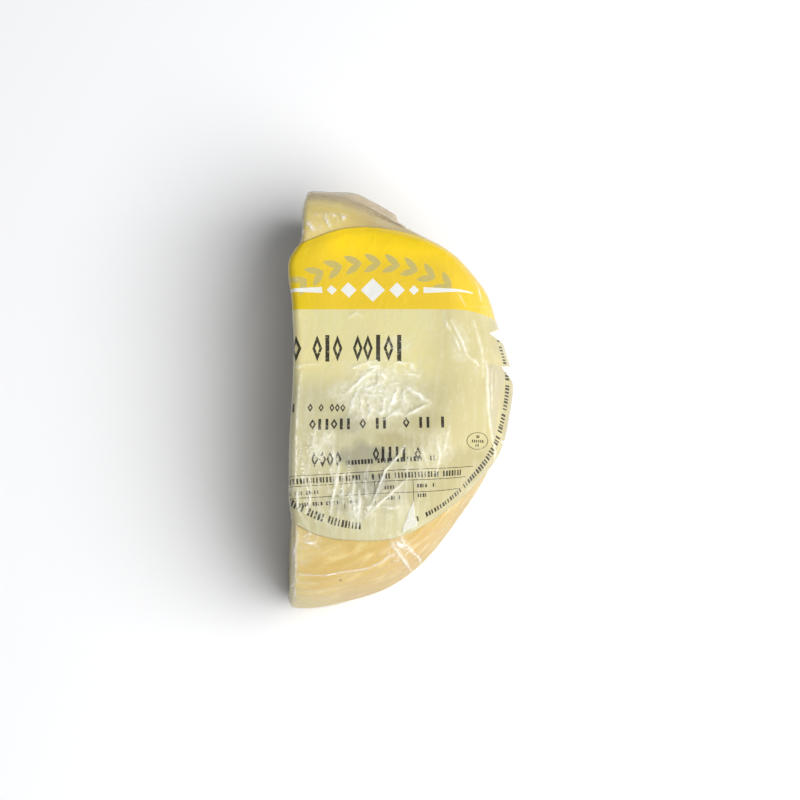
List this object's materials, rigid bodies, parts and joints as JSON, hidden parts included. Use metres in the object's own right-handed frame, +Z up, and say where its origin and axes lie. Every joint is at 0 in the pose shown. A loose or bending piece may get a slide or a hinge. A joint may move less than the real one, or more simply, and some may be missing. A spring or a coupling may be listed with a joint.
{
  "type": "vacuum-packed half cheese wheel",
  "caption": "Half of a small round cheese with a rounded, basket-ridged rind, sealed in clear shrunk film, with a large round label folded over its cut edge.",
  "frame": {"origin": "centre of the box round the whole piece, on the surface it lies on", "axes": "+Z up from the round face it lies on, -X out of the straight cut face, +X towards the round side, +Y along the cut towards the end with the film's seam"},
  "size_m": [0.0822, 0.1508, 0.0618],
  "materials": {
    "film": "clear shrunk film, glossy, with fine creases",
    "cheese": "pale yellow semi-hard cheese with a smooth oiled rind",
    "label": "printed film label, half yellow and half translucent cream"
  },
  "bodies": {
    "root": {"film_pack": "film", "label": "label"}
  },
  "joints": []
}
